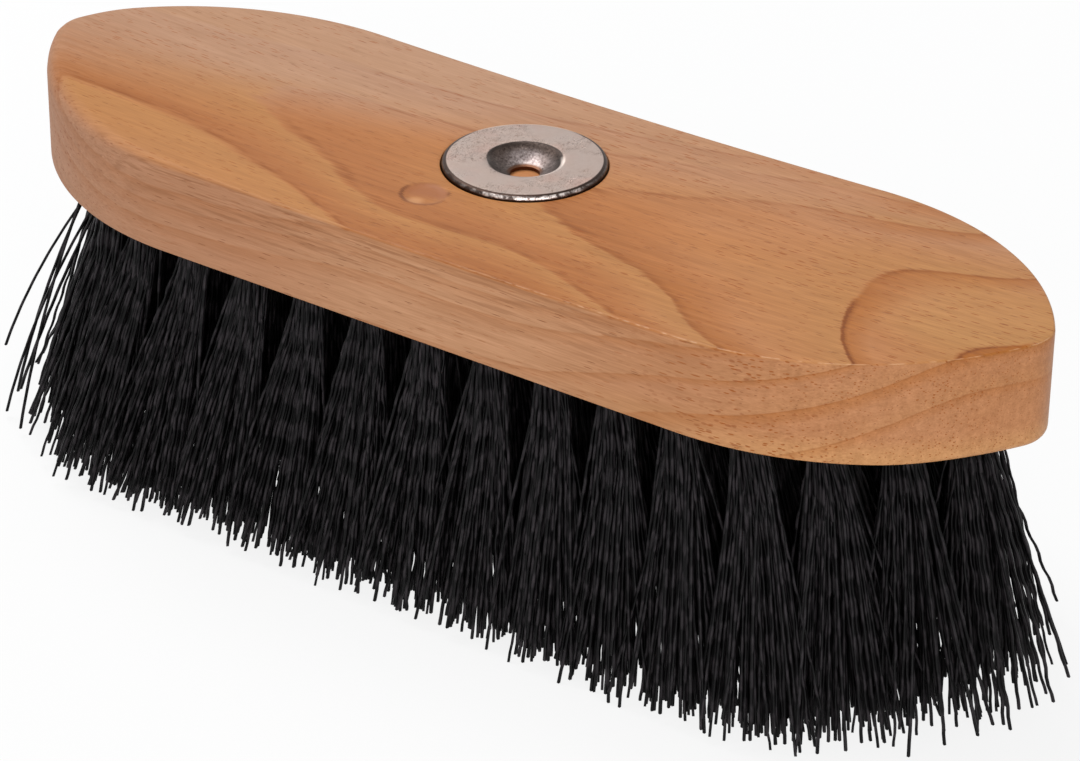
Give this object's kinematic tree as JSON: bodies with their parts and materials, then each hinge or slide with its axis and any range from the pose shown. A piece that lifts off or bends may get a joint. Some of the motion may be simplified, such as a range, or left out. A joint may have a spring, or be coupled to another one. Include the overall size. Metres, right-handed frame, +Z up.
{
  "type": "dandy brush",
  "caption": "Horse grooming brush: a long pointed wooden block with a dished metal disc let into its back and splayed tufts of stiff crimped filament under it.",
  "frame": {"origin": "on the plane of the trimmed filament tips, under the middle of the block", "axes": "+X along the block's length, +Z up through its back; the disc lies a little towards +Y and -X of the middle"},
  "size_m": [0.2152, 0.0776, 0.0698],
  "materials": {
    "lacquered_wood": "satin lacquer over straight-grained orange-tan wood",
    "nickel_plate": "satin nickel plate, darker on the rounded rim and in the dish",
    "clear_adhesive": "cured clear adhesive",
    "black_filament": "black crimped synthetic filament with a soft sheen"
  },
  "bodies": {
    "root": {"disc_adhesive": "clear_adhesive", "magnet_disc": "nickel_plate", "tuft_inner_left_01": "black_filament", "tuft_inner_left_02": "black_filament", "tuft_inner_left_03": "black_filament", "tuft_inner_left_04": "black_filament", "tuft_inner_left_05": "black_filament", "tuft_inner_left_06": "black_filament", "tuft_inner_left_07": "black_filament", "tuft_inner_left_08": "black_filament", "tuft_inner_left_09": "black_filament", "tuft_inner_left_10": "black_filament", "tuft_inner_left_11": "black_filament", "tuft_inner_left_12": "black_filament", "tuft_inner_right_01": "black_filament", "tuft_inner_right_02": "black_filament", "tuft_inner_right_03": "black_filament", "tuft_inner_right_04": "black_filament", "tuft_inner_right_05": "black_filament", "tuft_inner_right_06": "black_filament", "tuft_inner_right_07": "black_filament", "tuft_inner_right_08": "black_filament", "tuft_inner_right_09": "black_filament", "tuft_inner_right_10": "black_filament", "tuft_inner_right_11": "black_filament", "tuft_inner_right_12": "black_filament", "tuft_outer_01": "black_filament", "tuft_outer_02": "black_filament", "tuft_outer_03": "black_filament", "tuft_outer_04": "black_filament", "tuft_outer_05": "black_filament", "tuft_outer_06": "black_filament", "tuft_outer_07": "black_filament", "tuft_outer_08": "black_filament", "tuft_outer_09": "black_filament", "tuft_outer_10": "black_filament", "tuft_outer_11": "black_filament", "tuft_outer_12": "black_filament", "tuft_outer_13": "black_filament", "tuft_outer_14": "black_filament", "tuft_outer_15": "black_filament", "tuft_outer_16": "black_filament", "tuft_outer_17": "black_filament", "tuft_outer_18": "black_filament", "tuft_outer_19": "black_filament", "tuft_outer_20": "black_filament", "tuft_outer_21": "black_filament", "tuft_outer_22": "black_filament", "tuft_outer_23": "black_filament", "tuft_outer_24": "black_filament", "tuft_outer_25": "black_filament", "tuft_outer_26": "black_filament", "tuft_outer_27": "black_filament", "tuft_outer_28": "black_filament", "tuft_outer_29": "black_filament", "tuft_outer_30": "black_filament", "tuft_outer_31": "black_filament", "tuft_outer_32": "black_filament", "wooden_block": "lacquered_wood"}
  },
  "joints": []
}
